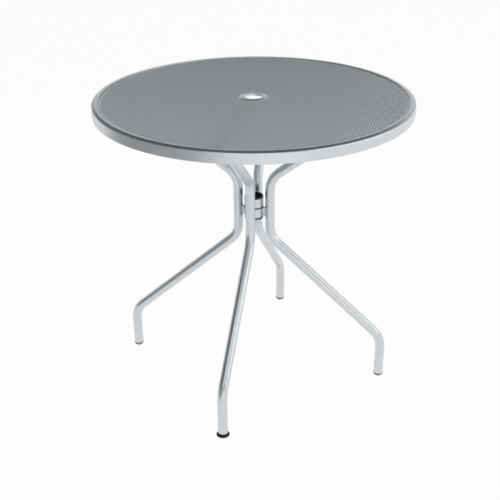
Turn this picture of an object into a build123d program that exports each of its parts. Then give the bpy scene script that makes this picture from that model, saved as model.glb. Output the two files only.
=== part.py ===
from build123d import *
import math
import os

# Round garden table: a mesh top in a rolled rim, on four bent tube legs that meet at two stacked collars.
# Millimetres, +Z up. The origin is on the floor, on the axis of the top.

# Top: rolled rim
top_diameter = 762.0
table_height = 743.0
rim_height = 26.5
rim_sheet = 1.5
rim_flange = 14.0
rim_slope = 8.5
rim_slope_drop = 3.0
rim_hem = 6.0
rim_ledge = 12.0
rim_edge_radius = 2.2
rim_crest_radius = 6.0
rim_lip_radius = 1.0

# Top: mesh deck and the ring round its pole hole
deck_recess = 2.5
deck_thickness = 1.5
deck_gap = 0.3
mesh_openings_across = 12
mesh_bar = 30.0
mesh_border = 2.0
mesh_least_share = 0.5
pole_hole = 42.0
umbrella_ring_diameter = 68.0
umbrella_ring_crown = 2.3
umbrella_ring_crest = 5.0
umbrella_ring_edge = 0.8
umbrella_ring_neck = 1.5
umbrella_ring_round = 1.2
umbrella_ring_seat = 0.4
lock_ring_diameter = 60.0
lock_ring_thickness = 1.5

# Top: frame under the deck
centre_ring_hole = 110.0
centre_ring_diameter = 150.0
centre_ring_thickness = 3.0
brace_width = 30.0
brace_depth = 12.0
brace_wall = 1.5
brace_end_gap = 0.6

# Legs
tube_diameter = 24.0
tube_wall = 1.5
bend_radius = 60.0
foot_inset = 44.0
foot_bend_height = 116.0
hub_radius = 41.0
upper_bend_below_top = 207.0
hub_length = 157.0
arm_landing_inset = 92.5

# Leg plates and their fasteners
plate_width = 34.0
plate_thickness = 4.0
plate_end_margin = 11.0
plate_corner = 5.0
bolt_diameter = 6.0
bolt_hole_play = 0.6
bolt_head_width = 10.0
bolt_head_height = 4.0
bolt_head_room = 2.0
washer_diameter = 12.0
washer_thickness = 1.6
thread_gap = 0.05
rivet_nut_diameter = 9.0
rivet_nut_bulb = 12.5
rivet_nut_bulb_height = 3.5
rivet_nut_head_room = 1.0
bolt_end_gap = 0.8

# Hub: two collars round the pole bush
collar_diameter = 48.0
collar_wall = 2.0
collar_height = 23.0
collar_stack_rise = 2.0
spacer_height = 4.0
link_height = 20.0
link_width = 8.0
weld_gap = 0.1
bush_bore = 40.0
bush_gap = 0.1
bush_flange_diameter = 47.0
bush_flange_height = 3.5
bush_lead_in = 1.0
bush_lock_height = 5.0
bush_lock_diameter = 47.0

# Feet: tube ends stand this far above the floor
tube_end_height = 9.0
plug_length = 22.0
plug_gap = 0.1
plug_rib_depth = 1.2
plug_rib_height = 2.0
plug_rib_pitch = 6.0
plug_rib_count = 3
glide_flange_diameter = 25.0
glide_flange_height = 2.5
glide_diameter = 23.0
glide_flat_diameter = 12.0

# Levelling foot of the front leg
insert_flange_height = 1.5
stud_diameter = 8.0
stud_gap = 0.05
stud_length = 36.0
stud_chamfer = 0.8
stud_hex_width = 13.0
stud_hex_height = 2.5
stud_neck_diameter = 7.0
swivel_diameter = 11.0
swivel_height = 1.6
swivel_gap = 0.2
leveller_gap = 0.3
pad_diameter = 32.0
pad_base = 1.2
pad_edge_height = 2.0
pad_edge_chamfer = 0.8
pad_top_diameter = 19.0

# Levels and radii that follow from the sizes above
top_radius = top_diameter / 2
rim_bottom = table_height - rim_height
rim_edge = table_height - rim_slope_drop
rim_inner_radius = top_radius - rim_flange
ledge_radius = rim_inner_radius - rim_ledge
deck_top = table_height - deck_recess
deck_bottom = deck_top - deck_thickness
deck_radius = rim_inner_radius - deck_gap
mesh_pitch = 2 * deck_radius / mesh_openings_across
mesh_opening = mesh_pitch - mesh_bar
hole_radius = pole_hole / 2
neck_radius = hole_radius + umbrella_ring_neck
neck_bottom = deck_bottom - lock_ring_thickness
ring_seat_level = deck_top - umbrella_ring_seat
brace_top = deck_bottom
brace_bottom = brace_top - brace_depth
plate_bottom = brace_bottom - plate_thickness
tube_radius = tube_diameter / 2
tube_bore = tube_radius - tube_wall
foot_radius = top_radius - foot_inset
upper_bend = table_height - upper_bend_below_top
lower_bend = upper_bend - hub_length
landing_radius = top_radius - arm_landing_inset
arm_angle = math.atan2(plate_bottom - upper_bend, landing_radius - hub_radius)
bolt_offset = (
    tube_radius / math.sin(arm_angle)
    + washer_diameter / 2
    + (washer_thickness + bolt_head_height + bolt_head_room) / math.tan(arm_angle)
)
plate_length = 2 * (bolt_offset + plate_end_margin)
bolt_radii = (landing_radius - bolt_offset, landing_radius + bolt_offset)
nut_top = brace_top - brace_wall - rivet_nut_head_room
collar_radius = collar_diameter / 2
collar_bore = collar_radius - collar_wall
stack_middle = (lower_bend + upper_bend) / 2 + collar_stack_rise
lower_collar_bottom = stack_middle - spacer_height / 2 - collar_height
upper_collar_bottom = stack_middle + spacer_height / 2
bush_seat = upper_collar_bottom + collar_height
bush_bottom = lower_collar_bottom - bush_lock_height
bush_radius = collar_bore - bush_gap
insert_bottom = tube_end_height - insert_flange_height
hex_top = insert_bottom - leveller_gap
hex_bottom = hex_top - stud_hex_height
pad_height = hex_bottom - leveller_gap

# Legs by the side they stand on, with their azimuth in degrees
sides = {"right": 0, "back": 90, "left": 180, "front": 270}
lower_collar_sides = ("right", "left")
glide_sides = ("right", "back", "left")


def outline(points):
    """Closed flat face through radius and height pairs."""
    return make_face(Polyline(*points, close=True))


def rounded(face, point, radius):
    """The face with its corner at a point rounded."""
    corner = face.vertices().sort_by_distance((point[0], point[1], 0))[0]
    return fillet(corner, radius)


def turned(face):
    """Solid of revolution about Z of a face drawn in radius and height."""
    return revolve(Plane.XZ * face, axis=Axis.Z)


def ring(outer, inner, bottom, top):
    """Plain ring from two radii and two levels."""
    return turned(outline([(inner, bottom), (outer, bottom), (outer, top), (inner, top)]))


def disc(radius, bottom, top):
    """Plain cylinder on the Z axis between two levels."""
    return Pos(0, 0, bottom) * extrude(Circle(radius), top - bottom)


def block(x_range, y_width, z_range):
    """Box across the X axis."""
    length = x_range[1] - x_range[0]
    height = z_range[1] - z_range[0]
    middle = ((x_range[0] + x_range[1]) / 2, 0, (z_range[0] + z_range[1]) / 2)
    return Pos(*middle) * Box(length, y_width, height)


def rim_hoop():
    """Rolled rim: hem, side band, crowned top, lip and the ledge that seats the mesh."""
    crest = top_radius - rim_slope
    edge = (top_radius, rim_edge)
    shoulder = (crest, table_height)
    lip = (rim_inner_radius, table_height)
    profile = outline([
        (top_radius, rim_bottom),
        edge,
        shoulder,
        lip,
        (rim_inner_radius, deck_bottom),
        (ledge_radius, deck_bottom),
        (ledge_radius, deck_bottom - rim_sheet),
        (rim_inner_radius + rim_sheet, deck_bottom - rim_sheet),
        (rim_inner_radius + rim_sheet, table_height - rim_sheet),
        (crest, table_height - rim_sheet),
        (top_radius - rim_sheet, rim_edge - rim_sheet),
        (top_radius - rim_sheet, rim_bottom + rim_sheet),
        (top_radius - rim_hem, rim_bottom + rim_sheet),
        (top_radius - rim_hem, rim_bottom),
    ])
    profile = rounded(profile, edge, rim_edge_radius)
    profile = rounded(profile, shoulder, rim_crest_radius)
    profile = rounded(profile, lip, rim_lip_radius)
    return turned(profile)


def mesh_openings():
    """Coarse square grid that stands for the fine mesh, trimmed between the centre ring and the ledge."""
    field = Circle(ledge_radius - mesh_border) - Circle(centre_ring_diameter / 2 + mesh_border)
    square = Rectangle(mesh_opening, mesh_opening)
    middle = (mesh_openings_across - 1) / 2
    steps = [mesh_pitch * (index - middle) for index in range(mesh_openings_across)]
    cells = [Pos(x, y) * square & field for x in steps for y in steps]
    return [cell for cell in cells if cell.area > mesh_least_share * square.area]


def mesh_deck():
    """Mesh sheet with its openings, pressed flat round its hole to seat the umbrella ring."""
    hole = neck_radius + deck_gap
    seat = umbrella_ring_diameter / 2 + deck_gap
    sheet = Circle(deck_radius) - Circle(hole) - mesh_openings()
    deck = Pos(0, 0, deck_bottom) * extrude(sheet, deck_thickness)
    return deck - ring(seat, hole, ring_seat_level, deck_top)


def umbrella_ring():
    """Crowned ring seated in the deck, with a neck down through it."""
    crest_level = deck_top + umbrella_ring_crown
    outer = umbrella_ring_diameter / 2
    mouth = (hole_radius, crest_level)
    profile = outline([
        (hole_radius, neck_bottom),
        mouth,
        (hole_radius + umbrella_ring_crest, crest_level),
        (outer, deck_top + umbrella_ring_edge),
        (outer, ring_seat_level),
        (neck_radius, ring_seat_level),
        (neck_radius, neck_bottom),
    ])
    profile = rounded(profile, mouth, umbrella_ring_round)
    return turned(profile)


def umbrella_lock_ring():
    """Flat ring under the deck, pressed on the umbrella ring's neck."""
    return ring(lock_ring_diameter / 2, neck_radius + weld_gap, neck_bottom, deck_bottom)


def centre_ring():
    """Flat ring under the deck that ties the inner ends of the braces."""
    bottom = brace_top - centre_ring_thickness
    return ring(centre_ring_diameter / 2, centre_ring_hole / 2, bottom, brace_top)


def deck_brace():
    """Flat box tube from the centre ring to the rim, notched where it passes under the ledge."""
    start = centre_ring_diameter / 2 + deck_gap
    end = top_radius - rim_sheet - brace_end_gap
    notch = math.sqrt(ledge_radius ** 2 - (brace_width / 2) ** 2) - deck_gap
    tube = block((start, end), brace_width, (brace_bottom, brace_top))
    tube -= block(
        (start, end),
        brace_width - 2 * brace_wall,
        (brace_bottom + brace_wall, brace_top - brace_wall),
    )
    tube -= block((notch, end), brace_width, (brace_top - rim_sheet, brace_top))
    for radius in bolt_radii:
        hole = disc(rivet_nut_diameter / 2 + weld_gap, brace_bottom, brace_bottom + brace_wall)
        tube -= Pos(radius, 0, 0) * hole
    return tube


def rivet_nut():
    """Threaded insert set in a brace's lower wall, with its bulb above that wall."""
    bulb_bottom = brace_bottom + brace_wall
    nut = disc(rivet_nut_diameter / 2, brace_bottom, nut_top)
    nut += disc(rivet_nut_bulb / 2, bulb_bottom, bulb_bottom + rivet_nut_bulb_height)
    return nut - disc(bolt_diameter / 2, brace_bottom, nut_top)


def plate_bolt():
    """Hexagon bolt from below a leg plate up into its rivet nut."""
    seat = plate_bottom - washer_thickness
    head = extrude(RegularPolygon(bolt_head_width / 2, 6, major_radius=False), bolt_head_height)
    head = Pos(0, 0, seat - bolt_head_height) * head
    return head + disc(bolt_diameter / 2 - thread_gap, seat, nut_top - bolt_end_gap)


def plate_washer():
    """Washer between a bolt's head and the leg plate."""
    bore = (bolt_diameter + bolt_hole_play) / 2
    return ring(washer_diameter / 2, bore, plate_bottom - washer_thickness, plate_bottom)


def leg_plate():
    """Plate welded on the mitred end of an upper arm and bolted under a brace."""
    x_range = (landing_radius - plate_length / 2, landing_radius + plate_length / 2)
    plate = block(x_range, plate_width, (plate_bottom, brace_bottom))
    plate = fillet(plate.edges().filter_by(Axis.Z), plate_corner)
    for radius in bolt_radii:
        hole = disc((bolt_diameter + bolt_hole_play) / 2, plate_bottom, brace_bottom)
        plate -= Pos(radius, 0, 0) * hole
    return plate


def leg_tube():
    """One leg: foot, incline, hub stretch and upper arm, mitred flat under its plate."""
    overrun = tube_diameter / math.tan(arm_angle)
    arm_end = (
        landing_radius + overrun,
        plate_bottom + overrun * math.tan(arm_angle),
    )
    corners = [
        (foot_radius, tube_end_height),
        (foot_radius, foot_bend_height),
        (hub_radius, lower_bend),
        (hub_radius, upper_bend),
        arm_end,
    ]
    path = Plane.XZ * FilletPolyline(*corners, radius=bend_radius)
    section = Plane(origin=path @ 0, z_dir=path % 0) * (Circle(tube_radius) - Circle(tube_bore))
    tube = sweep(section, path=path)
    return split(tube, bisect_by=Plane.XY.offset(plate_bottom), keep=Keep.BOTTOM)


def collar(bottom):
    """Short tube round the pole bush."""
    return ring(collar_radius, collar_bore, bottom, bottom + collar_height)


def collar_link(collar_bottom):
    """Flat bar between a collar and a leg, cut to both."""
    middle = collar_bottom + collar_height / 2
    levels = (middle - link_height / 2, middle + link_height / 2)
    link = block((collar_bore, hub_radius), link_width, levels)
    link -= disc(collar_radius + weld_gap, *levels)
    return link - Pos(hub_radius, 0, 0) * disc(tube_radius + weld_gap, *levels)


def pole_bush():
    """Plastic liner through both collars, with a flange on top."""
    bore = bush_bore / 2
    flange = bush_flange_diameter / 2
    top = bush_seat + bush_flange_height
    return turned(outline([
        (bore, bush_bottom),
        (bush_radius, bush_bottom),
        (bush_radius, bush_seat),
        (flange, bush_seat),
        (flange, top - bush_lead_in),
        (flange - bush_lead_in, top),
        (bore + bush_lead_in, top),
        (bore, top - bush_lead_in),
    ]))


def collar_spacer():
    """Plastic washer between the two collars."""
    return ring(collar_radius, collar_bore, stack_middle - spacer_height / 2, upper_collar_bottom)


def bush_lock_ring():
    """Plastic ring pushed on the lower end of the bush, under the lower collar."""
    return ring(bush_lock_diameter / 2, collar_bore, bush_bottom, lower_collar_bottom)


def ribbed_plug():
    """Part of a foot that sits inside the tube, with ribs that grip its wall."""
    rib_radius = tube_bore - plug_gap
    plug = disc(rib_radius - plug_rib_depth, tube_end_height, tube_end_height + plug_length)
    for index in range(plug_rib_count):
        rib_bottom = tube_end_height + plug_rib_pitch * (index + 0.5)
        plug += disc(rib_radius, rib_bottom, rib_bottom + plug_rib_height)
    return plug


def foot_glide():
    """Plastic end piece of a leg: plug, flange at the tube's end and rounded foot."""
    dome_height = tube_end_height - glide_flange_height
    flat = (glide_flat_diameter / 2, 0)
    dome_top = (glide_diameter / 2, dome_height)
    face = make_face([
        Line((0, 0), flat),
        TangentArc(flat, dome_top, tangent=(1, 0)),
        Line(dome_top, (0, dome_height)),
        Line((0, dome_height), (0, 0)),
    ])
    flange = disc(glide_flange_diameter / 2, dome_height, tube_end_height)
    return turned(face) + flange + ribbed_plug()


def leveller_insert():
    """Threaded plug in the front leg's end, with a flange that the tube stands on."""
    insert = ribbed_plug() + disc(tube_radius, insert_bottom, tube_end_height)
    bore = stud_diameter / 2 + stud_gap
    return insert - disc(bore, insert_bottom, tube_end_height + plug_length)


def leveller_stud():
    """Threaded stud with a spanner hexagon and a swivel disc that the pad holds."""
    swivel_bottom = pad_base + swivel_gap / 2
    stud = disc(swivel_diameter / 2, swivel_bottom, swivel_bottom + swivel_height)
    stud += disc(stud_neck_diameter / 2, swivel_bottom, hex_bottom)
    hexagon = extrude(RegularPolygon(stud_hex_width / 2, 6, major_radius=False), stud_hex_height)
    stud += Pos(0, 0, hex_bottom) * hexagon
    thread = disc(stud_diameter / 2, hex_top, hex_top + stud_length)
    stud += chamfer(thread.edges().sort_by(Axis.Z)[-1], stud_chamfer)
    return stud


def leveller_pad():
    """Round plastic foot that swivels on the stud."""
    cavity_radius = swivel_diameter / 2 + swivel_gap
    cavity_top = pad_base + swivel_height + swivel_gap
    throat_radius = stud_neck_diameter / 2 + swivel_gap
    outer = pad_diameter / 2
    return turned(outline([
        (0, 0),
        (outer - pad_edge_chamfer, 0),
        (outer, pad_edge_chamfer),
        (outer, pad_edge_height),
        (pad_top_diameter / 2, pad_height),
        (throat_radius, pad_height),
        (throat_radius, cavity_top),
        (cavity_radius, cavity_top),
        (cavity_radius, pad_base),
        (0, pad_base),
    ]))


def at_side(shape, side):
    """A piece modelled on the +X side, turned to its own side."""
    return Rot(0, 0, sides[side]) * shape


def at_foot(shape, side):
    """A piece modelled on the Z axis, moved under a leg's foot."""
    return at_side(Pos(foot_radius, 0, 0) * shape, side)


def at_bolts(shape):
    """Copies of a fastener at every bolt of the leg plates, as one group of solids."""
    return Compound([
        at_side(Pos(radius, 0, 0) * shape, side)
        for side in sides
        for radius in bolt_radii
    ])


nodes = {
    "rim_hoop": rim_hoop(),
    "mesh_deck": mesh_deck(),
    "umbrella_ring": umbrella_ring(),
    "umbrella_lock_ring": umbrella_lock_ring(),
    "centre_ring": centre_ring(),
    "brace_rivet_nuts": at_bolts(rivet_nut()),
    "leg_plate_bolts": at_bolts(plate_bolt()),
    "leg_plate_washers": at_bolts(plate_washer()),
    "upper_collar": collar(upper_collar_bottom),
    "lower_collar": collar(lower_collar_bottom),
    "pole_bush": pole_bush(),
    "collar_spacer": collar_spacer(),
    "bush_lock_ring": bush_lock_ring(),
    "leveller_insert": at_foot(leveller_insert(), "front"),
    "leveller_stud": at_foot(leveller_stud(), "front"),
    "leveller_pad": at_foot(leveller_pad(), "front"),
}
for side in sides:
    collar_bottom = lower_collar_bottom if side in lower_collar_sides else upper_collar_bottom
    nodes["leg_" + side] = at_side(leg_tube(), side)
    nodes["leg_plate_" + side] = at_side(leg_plate(), side)
    nodes["deck_brace_" + side] = at_side(deck_brace(), side)
    nodes["collar_link_" + side] = at_side(collar_link(collar_bottom), side)
for side in glide_sides:
    nodes["foot_glide_" + side] = at_foot(foot_glide(), side)

os.makedirs("parts", exist_ok=True)
for name, shape in nodes.items():
    export_step(shape, "parts/" + name + ".step")
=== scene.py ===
# Round garden table in silver paint: its view, studio, finishes and fine pieces, in metres.
import math

import bpy
from mathutils import Matrix, Vector


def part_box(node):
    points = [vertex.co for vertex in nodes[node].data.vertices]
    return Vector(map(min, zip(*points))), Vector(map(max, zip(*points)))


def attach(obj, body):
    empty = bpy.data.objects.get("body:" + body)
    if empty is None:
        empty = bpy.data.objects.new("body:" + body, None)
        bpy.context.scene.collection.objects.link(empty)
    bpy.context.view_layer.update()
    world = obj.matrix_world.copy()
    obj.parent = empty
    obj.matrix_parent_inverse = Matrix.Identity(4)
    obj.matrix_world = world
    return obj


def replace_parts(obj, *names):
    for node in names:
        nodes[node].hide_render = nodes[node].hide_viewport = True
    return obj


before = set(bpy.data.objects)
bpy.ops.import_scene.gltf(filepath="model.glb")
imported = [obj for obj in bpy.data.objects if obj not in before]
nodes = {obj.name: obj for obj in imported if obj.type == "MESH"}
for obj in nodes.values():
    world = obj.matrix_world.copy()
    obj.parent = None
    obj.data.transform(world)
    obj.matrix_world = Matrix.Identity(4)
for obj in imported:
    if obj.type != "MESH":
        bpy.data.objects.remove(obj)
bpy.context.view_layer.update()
SIDES = ("right", "back", "left", "front")

# View of the photograph: the table is turned about its axis, and the camera stands in front of it
VIEW_TURN = Matrix.Rotation(math.radians(13.54), 4, "Z")
CAMERA_PLACE = Vector((-0.0035, -2.0107, 1.3492))
CAMERA_YAW = math.radians(-0.222)
CAMERA_PITCH = math.radians(26.795)
CAMERA_ROLL = math.radians(-0.489)
FOCAL_PIXELS = 872.1
IMAGE_PIXELS = 500
SENSOR_WIDTH = 36.0

# Studio: softboxes, grey cards out of the picture, a white floor and walls that darken upwards
FLOOR_SIDE = 60.0
FLOOR_DROP = 0.0002
FLOOR_COLOUR = (0.92, 0.92, 0.92, 1)
FLOOR_LIFT = 0.96
HORIZON_LIGHT = 0.82
ZENITH_LIGHT = 0.05
HORIZON_TOP = 0.36
ZENITH_START = 0.56
LIGHT_AIM = Vector((0, 0, 0.45))
FRONT_LAMP = {"place": Vector((0.7, -2.6, 0.6)), "side": 1.8, "power": 4.0}
TOP_LAMP = {"place": Vector((0.0, -1.7, 3.2)), "side": 3.0, "power": 28.0}
SIDE_LAMP = {"place": Vector((2.4, -0.4, 2.2)), "side": 3.0, "power": 30.0}
LEFT_FLAG = {"place": Vector((-1.517, -0.675, 0.6)), "width": 3.0, "height": 1.2, "grey": 0.46}
HIGH_FLAG = {"place": Vector((-1.35, 1.0, 1.70)), "width": 1.4, "height": 1.0, "grey": 0.12}

# Mesh of the deck: diamonds with their long diagonals along X, and the seat's hem round the pole hole
MESH_LONG = 0.0122
MESH_SHORT = 0.0046
MESH_STRAND = 0.0022
MESH_CROWN = 0.00025
MESH_BEVEL = 0.0005
MESH_BEVEL_DROP = 0.0006
MESH_BORDER = 0.0006
MESH_RIM_GAP = 0.0017
SEAT_HEM_THICKNESS = 0.0010
SEAT_HEM_PLAY = 0.00025
SEAT_HEM_ROUND = 0.0003
SEAT_LAP = 0.0035
SEAT_SIDES = 96

# Welds
ARM_ANGLE = math.radians(37.07)
WELD_RADIUS = 0.0016
WELD_RIPPLE = 0.14
WELD_RIPPLE_PITCH = 0.0024
WELD_STEP = 0.0006
WELD_SIDES = 20
WELD_TIP = 0.15
WELD_TIP_POWER = 6
LINK_WIDTH = 0.008

# Levelling stud
STUD_AXIS = Vector((0, -0.337, 0))
STUD_RADIUS = 0.004
STUD_CHAMFER = 0.0008
STUD_NECK_RADIUS = 0.0035
STUD_PLAY = 0.0003
STUD_SIDES = 32
HEXAGON_CORNER = 0.013 / math.sqrt(3)
SWIVEL_RADIUS = 0.0055
SWIVEL_HEIGHT = 0.0016
SWIVEL_CHAMFER = 0.0002
THREAD_PITCH = 0.00125
THREAD_DEPTH = 0.0007
THREAD_ROWS = 8

# Finishes and edges
TEXTURE_LOW = 0.3
TEXTURE_HIGH = 0.7
SMOOTH_ANGLE = math.radians(20)


def noise(tree, scale, detail=2.0):
    """Noise value in object coordinates, so that its scale counts per metre."""
    coordinates = tree.nodes.new("ShaderNodeTexCoord")
    texture = tree.nodes.new("ShaderNodeTexNoise")
    texture.inputs["Scale"].default_value = scale
    texture.inputs["Detail"].default_value = detail
    tree.links.new(coordinates.outputs["Object"], texture.inputs["Vector"])
    return texture.outputs["Fac"]


def spangle(tree, scale):
    """Random value per crystal of a zinc coat."""
    coordinates = tree.nodes.new("ShaderNodeTexCoord")
    texture = tree.nodes.new("ShaderNodeTexVoronoi")
    texture.inputs["Scale"].default_value = scale
    tree.links.new(coordinates.outputs["Object"], texture.inputs["Vector"])
    return texture.outputs["Distance"]


def between(tree, value, low, high):
    """A texture value spread over a range of numbers."""
    spread = tree.nodes.new("ShaderNodeMapRange")
    spread.inputs["From Min"].default_value = TEXTURE_LOW
    spread.inputs["From Max"].default_value = TEXTURE_HIGH
    spread.inputs["To Min"].default_value = low
    spread.inputs["To Max"].default_value = high
    tree.links.new(value, spread.inputs["Value"])
    return spread.outputs["Result"]


def shade(tree, value, dark, light):
    """A texture value spread over two colours."""
    ramp = tree.nodes.new("ShaderNodeValToRGB")
    ramp.color_ramp.elements[0].position = TEXTURE_LOW
    ramp.color_ramp.elements[0].color = (*dark, 1)
    ramp.color_ramp.elements[1].position = TEXTURE_HIGH
    ramp.color_ramp.elements[1].color = (*light, 1)
    tree.links.new(value, ramp.inputs["Fac"])
    return ramp.outputs["Color"]


def relief(tree, value, height, below=None):
    """Surface relief from a texture value, over another relief if one is given."""
    bump = tree.nodes.new("ShaderNodeBump")
    bump.inputs["Distance"].default_value = height
    tree.links.new(value, bump.inputs["Height"])
    if below is not None:
        tree.links.new(below, bump.inputs["Normal"])
    return bump.outputs["Normal"]


def finish_of(name, metallic, dark, light, grain, gloss, peel, fleck):
    """Material with varied colour and roughness; gloss, peel and fleck hold a scale and an amount each."""
    material = bpy.data.materials.new(name)
    material.use_nodes = True
    tree = material.node_tree
    surface = tree.nodes["Principled BSDF"]
    surface.inputs["Metallic"].default_value = metallic
    tree.links.new(shade(tree, grain(tree), dark, light), surface.inputs["Base Color"])
    tree.links.new(between(tree, noise(tree, gloss[0]), *gloss[1]), surface.inputs["Roughness"])
    normal = relief(tree, noise(tree, peel[0]), peel[1])
    normal = relief(tree, noise(tree, fleck[0], 0.0), fleck[1], normal)
    tree.links.new(normal, surface.inputs["Normal"])
    return material


def make_finishes():
    """One finish for each slot of the record."""
    return {
        "silver_paint": finish_of(
            "silver_powder_coat", 0.9, (0.63, 0.66, 0.68), (0.69, 0.72, 0.74),
            grain=lambda tree: noise(tree, 1500),
            gloss=(40, (0.28, 0.36)), peel=(420, 0.00003), fleck=(2600, 0.000012),
        ),
        "mesh_paint": finish_of(
            "mesh_powder_coat", 0.9, (0.65, 0.715, 0.73), (0.71, 0.775, 0.79),
            grain=lambda tree: noise(tree, 1500),
            gloss=(40, (0.36, 0.46)), peel=(420, 0.00003), fleck=(2600, 0.000012),
        ),
        "black_plastic": finish_of(
            "black_moulded_plastic", 0.0, (0.024, 0.024, 0.025), (0.036, 0.036, 0.037),
            grain=lambda tree: noise(tree, 60),
            gloss=(90, (0.30, 0.42)), peel=(500, 0.00003), fleck=(1800, 0.00002),
        ),
        "grey_plastic": finish_of(
            "grey_moulded_plastic", 0.0, (0.30, 0.31, 0.32), (0.38, 0.39, 0.40),
            grain=lambda tree: noise(tree, 60),
            gloss=(90, (0.36, 0.48)), peel=(500, 0.00003), fleck=(1800, 0.00002),
        ),
        "zinc_steel": finish_of(
            "zinc_plated_steel", 1.0, (0.50, 0.51, 0.52), (0.68, 0.69, 0.70),
            grain=lambda tree: spangle(tree, 700),
            gloss=(300, (0.26, 0.40)), peel=(900, 0.00001), fleck=(3000, 0.000006),
        ),
    }


def add_piece(name, vertices, faces, slot, body="table"):
    """Mesh piece with its finish, smooth across all but its sharp edges."""
    mesh = bpy.data.meshes.new(name)
    mesh.from_pydata(vertices, [], faces)
    mesh.shade_smooth()
    mesh.set_sharp_from_angle(angle=SMOOTH_ANGLE)
    mesh.materials.append(finishes[slot])
    piece = bpy.data.objects.new(name, mesh)
    bpy.context.scene.collection.objects.link(piece)
    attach(piece, body)
    return piece


def turned(profile, segments):
    """Vertices and faces of a closed ring about Z, from counter-clockwise radius and height pairs."""
    vertices = []
    faces = []
    count = len(profile)
    for turn in range(segments):
        angle = math.tau * turn / segments
        for radius, height in profile:
            vertices.append((radius * math.cos(angle), radius * math.sin(angle), height))
        ahead = (turn + 1) % segments
        for point in range(count):
            after = (point + 1) % count
            near = turn * count
            far = ahead * count
            faces.append((far + point, far + after, near + after, near + point))
    return vertices, faces


def soft_rectangle(inner, outer, bottom, top, corner):
    """Section of a ring with its corners cut."""
    return [
        (inner + corner, bottom),
        (outer - corner, bottom),
        (outer, bottom + corner),
        (outer, top - corner),
        (outer - corner, top),
        (inner + corner, top),
        (inner, top - corner),
        (inner, bottom + corner),
    ]


def lattice_point(column, row):
    """Place of a half step of the mesh, in the deck's plane."""
    return Vector((column * MESH_LONG / 2, row * MESH_SHORT / 2, 0))


def quarter_of(point):
    """Side of the table whose quarter of the deck holds a point."""
    if abs(point.x) > abs(point.y):
        return "right" if point.x > 0 else "left"
    return "back" if point.y > 0 else "front"


def cell_corners(column, row):
    """Half steps at the four corners of a cell, counter-clockwise from its right."""
    return [(column + 1, row), (column, row + 1), (column - 1, row), (column, row - 1)]


def cell_neighbours(column, row):
    """Cells across the four strands of a cell, in the order of its corners."""
    return [(column + 1, row + 1), (column - 1, row + 1), (column - 1, row - 1), (column + 1, row - 1)]


def mesh_cells(inner_radius, outer_radius):
    """Cells of the mesh that reach between two radii, by quarter."""
    quarters = {side: set() for side in SIDES}
    columns = int(outer_radius / (MESH_LONG / 2)) + 2
    rows = int(outer_radius / (MESH_SHORT / 2)) + 2
    for column in range(-columns, columns + 1):
        for row in range(-rows, rows + 1):
            if (column + row) % 2:
                continue
            reach = [lattice_point(*corner).length for corner in cell_corners(column, row)]
            if max(reach) > inner_radius and min(reach) < outer_radius:
                quarters[quarter_of(lattice_point(column, row))].add((column, row))
    return quarters


def mesh_panel(cells, inner_radius, outer_radius, bottom, top):
    """Vertices and faces of joined cells, cut at two radii, with strands ridged above and narrower below."""
    opening = 1 - MESH_STRAND * math.hypot(MESH_LONG, MESH_SHORT) / (MESH_LONG * MESH_SHORT)
    brow = opening + 2 * MESH_BEVEL / MESH_SHORT
    vertices = []
    faces = []
    joints = {}

    def add_vertex(point, height):
        vertices.append((point.x, point.y, height))
        return len(vertices) - 1

    def joint(corner):
        if corner not in joints:
            point = lattice_point(*corner)
            point *= min(max(point.length, inner_radius), outer_radius) / point.length
            joints[corner] = (add_vertex(point, top), add_vertex(point, bottom))
        return joints[corner]

    for cell in sorted(cells):
        centre = lattice_point(*cell)
        corners = [lattice_point(*corner) for corner in cell_corners(*cell)]
        crest, base = zip(*[joint(corner) for corner in cell_corners(*cell)])
        mouth = [centre.lerp(corner, brow) for corner in corners]
        reach = [point.length for point in mouth]
        if inner_radius + MESH_BORDER < min(reach) and max(reach) < outer_radius - MESH_BORDER:
            throat = [centre.lerp(corner, opening) for corner in corners]
            loops = [
                crest,
                [add_vertex(point, top - MESH_CROWN) for point in mouth],
                [add_vertex(point, top - MESH_CROWN - MESH_BEVEL_DROP) for point in throat],
                [add_vertex(point, bottom) for point in mouth],
                base,
            ]
            for near, far in zip(loops, loops[1:]):
                for here in range(4):
                    ahead = (here + 1) % 4
                    faces.append((near[here], near[ahead], far[ahead], far[here]))
        else:
            faces.append(crest)
            faces.append(base[::-1])
        for here, neighbour in enumerate(cell_neighbours(*cell)):
            ahead = (here + 1) % 4
            if neighbour not in cells:
                faces.append((crest[ahead], crest[here], base[here], base[ahead]))
    return vertices, faces


def add_deck():
    """Mesh of the deck in four quarters, and its pressed seat round the pole hole."""
    low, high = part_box("mesh_deck")
    lock_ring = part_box("umbrella_lock_ring")[1].x
    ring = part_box("umbrella_ring")[1].x
    span = (ring - SEAT_LAP, high.x - MESH_RIM_GAP)
    for side, cells in mesh_cells(*span).items():
        panel = add_piece("deck_mesh_" + side, *mesh_panel(cells, *span, low.z, high.z), "mesh_paint")
        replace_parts(panel, "mesh_deck")
    seat = soft_rectangle(
        lock_ring - 2 * SEAT_LAP, ring + SEAT_HEM_PLAY, low.z, low.z + SEAT_HEM_THICKNESS, SEAT_HEM_ROUND
    )
    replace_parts(add_piece("deck_seat_hem", *turned(seat, SEAT_SIDES), "mesh_paint"), "mesh_deck")


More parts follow.
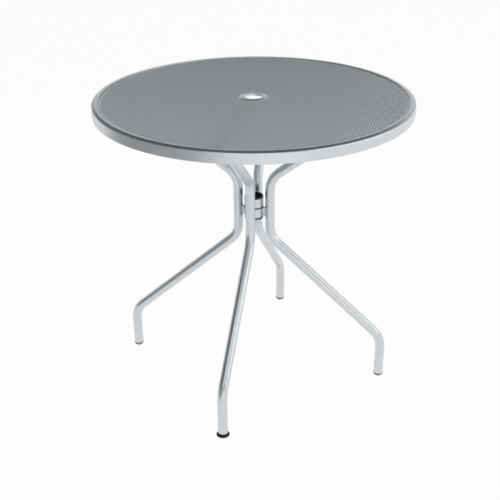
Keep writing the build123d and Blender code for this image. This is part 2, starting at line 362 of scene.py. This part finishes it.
def bead(path, lift, closed):
    """Rippled weld bead along a path, raised towards the direction of lift."""
    vertices = []
    faces = []
    count = len(path)
    travelled = 0.0
    for index, point in enumerate(path):
        before = path[index - 1] if closed or index else point
        after = path[(index + 1) % count] if closed or index < count - 1 else point
        across = (after - before).normalized().cross(lift).normalized()
        travelled += (point - before).length
        ripple = 1 + WELD_RIPPLE * math.sin(math.tau * travelled / WELD_RIPPLE_PITCH)
        taper = 1.0
        if not closed:
            from_middle = 2 * index / (count - 1) - 1
            taper = max(WELD_TIP, math.sqrt(max(0.0, 1 - from_middle ** WELD_TIP_POWER)))
        for side in range(WELD_SIDES):
            angle = math.tau * side / WELD_SIDES
            arm = across * math.cos(angle) + lift * math.sin(angle)
            vertices.append(point + arm * (WELD_RADIUS * ripple * taper))
    for index in range(count if closed else count - 1):
        ahead = (index + 1) % count
        for side in range(WELD_SIDES):
            other = (side + 1) % WELD_SIDES
            faces.append((
                index * WELD_SIDES + side,
                ahead * WELD_SIDES + side,
                ahead * WELD_SIDES + other,
                index * WELD_SIDES + other,
            ))
    if not closed:
        faces.append(tuple(range(WELD_SIDES)))
        faces.append(tuple(range((count - 1) * WELD_SIDES, count * WELD_SIDES))[::-1])
    return vertices, faces


def evenly(path, closed):
    """Points along straight runs at about the step of a weld's ripple."""
    points = []
    runs = zip(path, path[1:] + path[:1]) if closed else zip(path, path[1:])
    for start, end in runs:
        steps = max(1, round((end - start).length / WELD_STEP))
        points += [start.lerp(end, step / steps) for step in range(steps)]
    return points if closed else points + [path[-1]]


def merged(meshes):
    """One list of vertices and faces from several."""
    vertices = []
    faces = []
    for more_vertices, more_faces in meshes:
        start = len(vertices)
        vertices += more_vertices
        faces += [tuple(start + index for index in face) for face in more_faces]
    return vertices, faces


def turned_to(mesh, side):
    """A mesh made on the right side, turned to another side."""
    quarter_turns = SIDES.index(side)
    turn = Matrix.Rotation(quarter_turns * math.pi / 2, 4, "Z")
    vertices, faces = mesh
    return [turn @ Vector(vertex) for vertex in vertices], faces


def link_welds(side, collar):
    """Beads round both ends of the bar between a leg and its collar."""
    low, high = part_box("collar_link_" + side)
    collar_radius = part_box(collar)[1].x
    leg_low, leg_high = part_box("leg_right")
    tube_radius = leg_high.y
    hub_radius = leg_low.x + tube_radius
    half = LINK_WIDTH / 2
    loop = evenly([
        Vector((0, -half, low.z)),
        Vector((0, half, low.z)),
        Vector((0, half, high.z)),
        Vector((0, -half, high.z)),
    ], True)
    at_collar = [Vector((math.sqrt(collar_radius ** 2 - p.y ** 2), p.y, p.z)) for p in loop]
    at_leg = [Vector((hub_radius - math.sqrt(tube_radius ** 2 - p.y ** 2), p.y, p.z)) for p in loop]
    outward = Vector((1, 0, 0))
    return merged([bead(at_collar, outward, True), bead(at_leg, outward, True)])


def plate_weld():
    """Bead round the mitred end of an upper arm, under its plate."""
    low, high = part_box("leg_plate_right")
    tube_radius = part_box("leg_right")[1].y
    middle = (low.x + high.x) / 2
    long_radius = tube_radius / math.sin(ARM_ANGLE)
    steps = round(math.pi * (tube_radius + long_radius) / WELD_STEP)
    path = []
    for step in range(steps):
        angle = math.tau * step / steps
        x = middle + long_radius * math.cos(angle)
        path.append(Vector((x, tube_radius * math.sin(angle), low.z)))
    return bead(path, Vector((0, 0, 1)), True)


def brace_weld():
    """Bead where a brace meets the centre ring, seen from below."""
    low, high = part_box("deck_brace_right")
    ring_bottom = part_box("centre_ring")[0].z
    half = high.y - WELD_RADIUS
    path = evenly([Vector((low.x, -half, ring_bottom)), Vector((low.x, half, ring_bottom))], False)
    return bead(path, Vector((0, 0, 1)), False)


def add_welds():
    """Weld beads of the base and of the frame under the deck."""
    for side in SIDES:
        collar = "lower_collar" if side in ("right", "left") else "upper_collar"
        pattern = "right" if collar == "lower_collar" else "back"
        add_piece("link_welds_" + side, *turned_to(link_welds(pattern, collar), side), "silver_paint")
        add_piece("plate_weld_" + side, *turned_to(plate_weld(), side), "silver_paint")
        add_piece("brace_weld_" + side, *turned_to(brace_weld(), side), "silver_paint")


def loop_of(sides, height, radius_at):
    """Corners of a level loop about the stud's axis, whose radius may vary with its share of a turn."""
    loop = []
    for side in range(sides):
        share = (side + 0.5) / sides
        angle = math.tau * share
        arm = Vector((math.cos(angle), math.sin(angle), 0)) * radius_at(share)
        loop.append(STUD_AXIS + arm + Vector((0, 0, height)))
    return loop


def stacked(loops):
    """Vertices and faces of a closed solid through loops, from the lowest to the highest."""
    count = len(loops[0])
    vertices = [point for loop in loops for point in loop]
    faces = [tuple(range(count))[::-1]]
    for near in range(0, len(vertices) - count, count):
        for here in range(count):
            ahead = (here + 1) % count
            faces.append((near + here, near + ahead, near + count + ahead, near + count + here))
    faces.append(tuple(range(len(vertices) - count, len(vertices))))
    return vertices, faces


def threaded_rod(bottom, top):
    """Rod with a rolled right-hand thread and a chamfered upper end."""
    rows = round((top - bottom) / THREAD_PITCH * THREAD_ROWS)
    loops = []
    for row in range(rows + 1):
        height = bottom + (top - bottom) * row / rows
        widest = min(STUD_RADIUS, STUD_RADIUS - STUD_CHAMFER + top - height)

        def radius_at(share, height=height, widest=widest):
            phase = math.tau * (height / THREAD_PITCH - share)
            return min(widest, STUD_RADIUS - THREAD_DEPTH * (0.5 - 0.5 * math.cos(phase)))

        loops.append(loop_of(STUD_SIDES, height, radius_at))
    return stacked(loops)


def add_stud():
    """Levelling stud with its thread, its spanner hexagon and the swivel disc in the pad."""
    low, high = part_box("leveller_stud")
    hexagon_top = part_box("leveller_insert")[0].z - STUD_PLAY
    hexagon_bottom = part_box("leveller_pad")[1].z + STUD_PLAY
    hexagon = (hexagon_bottom, hexagon_top)
    swivel_top = low.z + SWIVEL_HEIGHT
    swivel = [
        (SWIVEL_RADIUS - SWIVEL_CHAMFER, low.z),
        (SWIVEL_RADIUS, low.z + SWIVEL_CHAMFER),
        (SWIVEL_RADIUS, swivel_top - SWIVEL_CHAMFER),
        (SWIVEL_RADIUS - SWIVEL_CHAMFER, swivel_top),
        (STUD_NECK_RADIUS, swivel_top),
        (STUD_NECK_RADIUS, hexagon_bottom),
    ]
    solids = [
        stacked([loop_of(STUD_SIDES, height, lambda share: radius) for radius, height in swivel]),
        stacked([loop_of(6, height, lambda share: HEXAGON_CORNER) for height in hexagon]),
        threaded_rod(hexagon_top, high.z),
    ]
    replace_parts(add_piece("threaded_stud", *merged(solids), "zinc_steel", "stud"), "leveller_stud")


def floor_finish():
    """Pale matt floor that is white to the camera and, alike, in the paint's reflections."""
    material = bpy.data.materials.new("floor")
    material.use_nodes = True
    tree = material.node_tree
    tree.nodes.clear()
    output = tree.nodes.new("ShaderNodeOutputMaterial")
    blend = tree.nodes.new("ShaderNodeMixShader")
    matt = tree.nodes.new("ShaderNodeBsdfDiffuse")
    matt.inputs["Color"].default_value = FLOOR_COLOUR
    white = tree.nodes.new("ShaderNodeEmission")
    tree.links.new(white_share(tree), blend.inputs["Fac"])
    tree.links.new(matt.outputs["BSDF"], blend.inputs[1])
    tree.links.new(white.outputs["Emission"], blend.inputs[2])
    tree.links.new(blend.outputs["Shader"], output.inputs["Surface"])
    return material


def white_share(tree):
    """Share of white for the rays that see the floor, and none for those that light the table."""
    rays = tree.nodes.new("ShaderNodeLightPath")
    seen = rays.outputs["Is Camera Ray"]
    for kind in ("Is Glossy Ray", "Is Transmission Ray"):
        either = tree.nodes.new("ShaderNodeMath")
        either.operation = "MAXIMUM"
        tree.links.new(seen, either.inputs[0])
        tree.links.new(rays.outputs[kind], either.inputs[1])
        seen = either.outputs["Value"]
    share = tree.nodes.new("ShaderNodeMath")
    share.operation = "MULTIPLY"
    share.inputs[1].default_value = FLOOR_LIFT
    tree.links.new(seen, share.inputs[0])
    return share.outputs["Value"]


def add_floor():
    """Level floor that the feet stand on."""
    half = FLOOR_SIDE / 2
    corners = [(-half, -half), (half, -half), (half, half), (-half, half)]
    mesh = bpy.data.meshes.new("floor")
    mesh.from_pydata([(x, y, -FLOOR_DROP) for x, y in corners], [], [(0, 1, 2, 3)])
    mesh.materials.append(floor_finish())
    floor = bpy.data.objects.new("floor", mesh)
    bpy.context.scene.collection.objects.link(floor)


def add_world():
    """Studio walls: pale at the horizon, darker towards the ceiling."""
    world = bpy.data.worlds.new("studio")
    world.use_nodes = True
    tree = world.node_tree
    background = tree.nodes["Background"]
    direction = tree.nodes.new("ShaderNodeTexCoord")
    axes = tree.nodes.new("ShaderNodeSeparateXYZ")
    fade = tree.nodes.new("ShaderNodeMapRange")
    fade.interpolation_type = "SMOOTHSTEP"
    fade.inputs["From Min"].default_value = HORIZON_TOP
    fade.inputs["From Max"].default_value = ZENITH_START
    fade.inputs["To Min"].default_value = HORIZON_LIGHT
    fade.inputs["To Max"].default_value = ZENITH_LIGHT
    tree.links.new(direction.outputs["Generated"], axes.inputs["Vector"])
    tree.links.new(axes.outputs["Z"], fade.inputs["Value"])
    tree.links.new(fade.outputs["Result"], background.inputs["Strength"])
    background.inputs["Color"].default_value = (1, 1, 1, 1)
    bpy.context.scene.world = world


def add_lamp(name, place, side, power):
    """Square softbox that faces the table."""
    data = bpy.data.lights.new(name, "AREA")
    data.size = side
    data.energy = power
    lamp = bpy.data.objects.new(name, data)
    lamp.location = VIEW_TURN @ place
    lamp.rotation_euler = (LIGHT_AIM - lamp.location).to_track_quat("-Z", "Y").to_euler()
    lamp.visible_camera = False
    bpy.context.scene.collection.objects.link(lamp)


def add_flag(name, place, width, height, grey):
    """Grey card that stands beside the table, out of the picture, and shades one of its sides."""
    across = Vector((-place.y, place.x, 0)).normalized() * (width / 2)
    up = Vector((0, 0, height / 2))
    corners = [place - across - up, place + across - up, place + across + up, place - across + up]
    mesh = bpy.data.meshes.new(name)
    mesh.from_pydata([VIEW_TURN @ corner for corner in corners], [], [(0, 1, 2, 3)])
    material = bpy.data.materials.new(name)
    material.use_nodes = True
    material.node_tree.nodes["Principled BSDF"].inputs["Base Color"].default_value = (grey, grey, grey, 1)
    mesh.materials.append(material)
    flag = bpy.data.objects.new(name, mesh)
    flag.visible_camera = False
    bpy.context.scene.collection.objects.link(flag)


def add_camera():
    """Camera at the photograph's view."""
    data = bpy.data.cameras.new("camera")
    data.sensor_width = SENSOR_WIDTH
    data.lens = SENSOR_WIDTH * FOCAL_PIXELS / IMAGE_PIXELS
    camera = bpy.data.objects.new("camera", data)
    heading = Matrix.Rotation(-CAMERA_YAW, 4, "Z")
    tilt = Matrix.Rotation(math.pi / 2 - CAMERA_PITCH, 4, "X")
    roll = Matrix.Rotation(CAMERA_ROLL, 4, "Z")
    camera.matrix_world = VIEW_TURN @ Matrix.Translation(CAMERA_PLACE) @ heading @ tilt @ roll
    bpy.context.scene.collection.objects.link(camera)
    bpy.context.scene.camera = camera


def paint_nodes():
    """Gives every node of the frame the finish of its slot."""
    for node in nodes.values():
        slot = node.material_slots[0]
        slot.material = finishes[slot.material.name]


bpy.context.scene.view_settings.view_transform = "Standard"
finishes = make_finishes()
paint_nodes()
add_deck()
add_welds()
add_stud()
add_floor()
add_world()
add_lamp("front_softbox", **FRONT_LAMP)
add_lamp("top_softbox", **TOP_LAMP)
add_lamp("side_softbox", **SIDE_LAMP)
add_flag("left_flag", **LEFT_FLAG)
add_flag("high_flag", **HIGH_FLAG)
add_camera()
